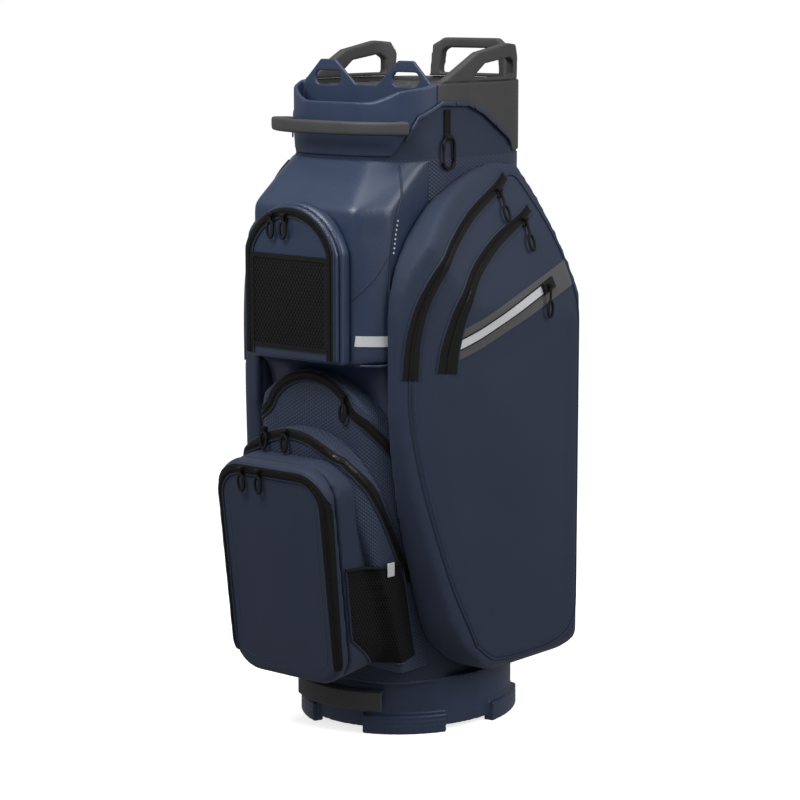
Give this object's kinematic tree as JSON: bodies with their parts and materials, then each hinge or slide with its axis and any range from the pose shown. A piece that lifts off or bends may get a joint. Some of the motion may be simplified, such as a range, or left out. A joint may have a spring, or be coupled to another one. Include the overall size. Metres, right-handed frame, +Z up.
{
  "type": "golf cart bag",
  "caption": "Upright cart golf bag with a moulded base, full-length club dividers, a putter well, grab handles, zipped pockets and a hinged ball pocket.",
  "frame": {"origin": "on the ground under the middle of the bag's outer box", "axes": "+Z up; the pockets face -Y; +X is the side seen at the right of the front"},
  "size_m": [0.3888, 0.4492, 0.915],
  "materials": {
    "navy_fabric": "satin",
    "navy_leatherette": "satin",
    "navy_plastic": "satin",
    "grey_plastic": "satin",
    "black_fabric": "matte",
    "black_metal": "satin",
    "grey_fabric": "satin",
    "white_reflective": "satin",
    "lining": "matte",
    "fibreglass": "satin",
    "foam": "matte"
  },
  "bodies": {
    "bag": {"base_tray": "navy_plastic", "base_grab_handle": "grey_plastic", "base_floor_pad": "foam", "body_shell": "navy_fabric", "front_cuff": "navy_plastic", "rear_cuff": "grey_plastic", "front_handle": "grey_plastic", "side_handle_right": "grey_plastic", "side_handle_left": "grey_plastic", "rear_handle": "grey_plastic", "side_trims": "navy_plastic", "cuff_screws": "black_metal", "top_divider": "grey_plastic", "club_dividers": "lining", "frame_stays": "fibreglass", "side_pocket_right": "navy_fabric", "side_pocket_left": "navy_fabric", "upper_front_panel": "navy_leatherette", "mid_pocket": "navy_fabric", "second_pocket": "navy_fabric", "ball_pocket": "navy_fabric", "valuables_pocket": "black_fabric", "lower_mesh_pockets": "black_fabric", "reflective_bands": "white_reflective", "back_panel": "navy_fabric", "front_zip_tapes": "black_fabric", "slanted_zip_bands": "grey_fabric", "clip_webbing": "black_fabric"},
    "ball_door": {"ball_door": "navy_fabric", "ball_zip_tape": "black_fabric"},
    "valuables_door": {"valuables_door": "navy_fabric", "valuables_zip_tape": "black_fabric"},
    "clip_hook": {"clip_hook": "black_metal"},
    "clip_gate": {"clip_gate": "black_metal"},
    "ball_left_slider": {"ball_left_slider": "black_metal"},
    "ball_left_pull": {"ball_left_pull": "black_fabric"},
    "ball_right_slider": {"ball_right_slider": "black_metal"},
    "ball_right_pull": {"ball_right_pull": "black_fabric"},
    "valuables_left_slider": {"valuables_left_slider": "black_metal"},
    "valuables_left_pull": {"valuables_left_pull": "black_fabric"},
    "valuables_right_slider": {"valuables_right_slider": "black_metal"},
    "valuables_right_pull": {"valuables_right_pull": "black_fabric"},
    "second_left_slider": {"second_left_slider": "black_metal"},
    "second_left_pull": {"second_left_pull": "black_fabric"},
    "second_right_slider": {"second_right_slider": "black_metal"},
    "second_right_pull": {"second_right_pull": "black_fabric"},
    "mid_slider": {"mid_slider": "black_metal"},
    "mid_pull": {"mid_pull": "black_fabric"},
    "slanted_right_slider": {"slanted_right_slider": "black_metal"},
    "slanted_right_pull": {"slanted_right_pull": "black_fabric"},
    "slanted_left_slider": {"slanted_left_slider": "black_metal"},
    "slanted_left_pull": {"slanted_left_pull": "black_fabric"},
    "apparel_outer_right_slider": {"apparel_outer_right_slider": "black_metal"},
    "apparel_outer_right_pull": {"apparel_outer_right_pull": "black_fabric"},
    "apparel_outer_left_slider": {"apparel_outer_left_slider": "black_metal"},
    "apparel_outer_left_pull": {"apparel_outer_left_pull": "black_fabric"},
    "apparel_inner_right_slider": {"apparel_inner_right_slider": "black_metal"},
    "apparel_inner_right_pull": {"apparel_inner_right_pull": "black_fabric"},
    "apparel_inner_left_slider": {"apparel_inner_left_slider": "black_metal"},
    "apparel_inner_left_pull": {"apparel_inner_left_pull": "black_fabric"}
  },
  "joints": [
    {"name": "ball_door_hinge", "type": "hinge", "parent": "bag", "child": "ball_door", "pos_m": [0, -0.16089, 0.092], "axis": [1, 0, 0], "range_deg": [0, 75]},
    {"name": "valuables_door_hinge", "type": "hinge", "parent": "bag", "child": "valuables_door", "pos_m": [0, -0.16449, 0.511], "axis": [1, 0, 0], "range_deg": [0, 60]},
    {"name": "clip_swing", "type": "hinge", "parent": "bag", "child": "clip_hook", "pos_m": [0.122, 0.00111, 0.792], "axis": [0, -1, 0], "range_deg": [0, 80]},
    {"name": "clip_gate_hinge", "type": "hinge", "parent": "clip_hook", "child": "clip_gate", "pos_m": [0.122, -0.00989, 0.7788], "axis": [1, 0, 0], "range_deg": [0, 22], "stiffness_Nm_per_rad": 0.002, "springref_deg": -5.73},
    {"name": "ball_left_zip", "type": "slide", "parent": "ball_door", "child": "ball_left_slider", "axis": [-1, 0, 0], "range_m": [0, 0.018]},
    {"name": "ball_left_pull_swing", "type": "hinge", "parent": "ball_left_slider", "child": "ball_left_pull", "pos_m": [-0.044, -0.22261, 0.37028], "axis": [-1, 0, 0], "range_deg": [0, 95]},
    {"name": "ball_right_zip", "type": "slide", "parent": "ball_door", "child": "ball_right_slider", "axis": [1, 0, 0], "range_m": [0, 0.06]},
    {"name": "ball_right_pull_swing", "type": "hinge", "parent": "ball_right_slider", "child": "ball_right_pull", "pos_m": [-0.014, -0.22261, 0.37028], "axis": [-1, 0, 0], "range_deg": [0, 95]},
    {"name": "valuables_left_zip", "type": "slide", "parent": "valuables_door", "child": "valuables_left_slider", "axis": [-1, 0, 0], "range_m": [0, 0.012]},
    {"name": "valuables_left_pull_swing", "type": "hinge", "parent": "valuables_left_slider", "child": "valuables_left_pull", "pos_m": [-0.028, -0.17854, 0.697], "axis": [-1, 0, 0], "range_deg": [0, 95]},
    {"name": "valuables_right_zip", "type": "slide", "parent": "valuables_door", "child": "valuables_right_slider", "axis": [1, 0, 0], "range_m": [0, 0.03]},
    {"name": "valuables_right_pull_swing", "type": "hinge", "parent": "valuables_right_slider", "child": "valuables_right_pull", "pos_m": [-0.006, -0.17854, 0.697], "axis": [-1, 0, 0], "range_deg": [0, 95]},
    {"name": "second_left_zip", "type": "slide", "parent": "bag", "child": "second_left_slider", "axis": [-1, 0, 0], "range_m": [0, 0.014]},
    {"name": "second_left_pull_swing", "type": "hinge", "parent": "second_left_slider", "child": "second_left_pull", "pos_m": [-0.044, -0.17694, 0.417], "axis": [-1, 0, 0], "range_deg": [0, 95]},
    {"name": "second_right_zip", "type": "slide", "parent": "bag", "child": "second_right_slider", "axis": [1, 0, 0], "range_m": [0, 0.036]},
    {"name": "second_right_pull_swing", "type": "hinge", "parent": "second_right_slider", "child": "second_right_pull", "pos_m": [-0.008, -0.17694, 0.417], "axis": [-1, 0, 0], "range_deg": [0, 95]},
    {"name": "mid_zip", "type": "slide", "parent": "bag", "child": "mid_slider", "axis": [-0.8824, 0, 0.4706], "range_m": [0, 0.045]},
    {"name": "mid_pull_swing", "type": "hinge", "parent": "mid_slider", "child": "mid_pull", "pos_m": [0.06, -0.13894, 0.465], "axis": [-1, 0, 0], "range_deg": [0, 95]},
    {"name": "slanted_right_zip", "type": "slide", "parent": "bag", "child": "slanted_right_slider", "axis": [-0.0264, -0.9493, -0.3133], "range_m": [0, 0.105]},
    {"name": "slanted_right_pull_swing", "type": "hinge", "parent": "slanted_right_slider", "child": "slanted_right_pull", "pos_m": [0.19244, 0.12911, 0.595], "axis": [0, -1, 0], "range_deg": [0, 95]},
    {"name": "slanted_left_zip", "type": "slide", "parent": "bag", "child": "slanted_left_slider", "axis": [0.0264, -0.9493, -0.3133], "range_m": [0, 0.105]},
    {"name": "slanted_left_pull_swing", "type": "hinge", "parent": "slanted_left_slider", "child": "slanted_left_pull", "pos_m": [-0.19244, 0.12911, 0.595], "axis": [0, 1, 0], "range_deg": [0, 95]},
    {"name": "apparel_outer_right_zip", "type": "slide", "parent": "bag", "child": "apparel_outer_right_slider", "axis": [0.1429, -0.9062, -0.398], "range_m": [0, 0.055]},
    {"name": "apparel_outer_right_pull_swing", "type": "hinge", "parent": "apparel_outer_right_slider", "child": "apparel_outer_right_pull", "pos_m": [0.14769, 0.07711, 0.72181], "axis": [0, -1, 0], "range_deg": [0, 95]},
    {"name": "apparel_outer_left_zip", "type": "slide", "parent": "bag", "child": "apparel_outer_left_slider", "axis": [-0.1429, -0.9062, -0.398], "range_m": [0, 0.055]},
    {"name": "apparel_outer_left_pull_swing", "type": "hinge", "parent": "apparel_outer_left_slider", "child": "apparel_outer_left_pull", "pos_m": [-0.14769, 0.07711, 0.72181], "axis": [0, 1, 0], "range_deg": [0, 95]},
    {"name": "apparel_inner_right_zip", "type": "slide", "parent": "bag", "child": "apparel_inner_right_slider", "axis": [0.1259, -0.9062, -0.4037], "range_m": [0, 0.09]},
    {"name": "apparel_inner_right_pull_swing", "type": "hinge", "parent": "apparel_inner_right_slider", "child": "apparel_inner_right_pull", "pos_m": [0.16135, 0.11511, 0.68162], "axis": [0, -1, 0], "range_deg": [0, 95]},
    {"name": "apparel_inner_left_zip", "type": "slide", "parent": "bag", "child": "apparel_inner_left_slider", "axis": [-0.1259, -0.9062, -0.4037], "range_m": [0, 0.09]},
    {"name": "apparel_inner_left_pull_swing", "type": "hinge", "parent": "apparel_inner_left_slider", "child": "apparel_inner_left_pull", "pos_m": [-0.16135, 0.11511, 0.68162], "axis": [0, 1, 0], "range_deg": [0, 95]}
  ]
}
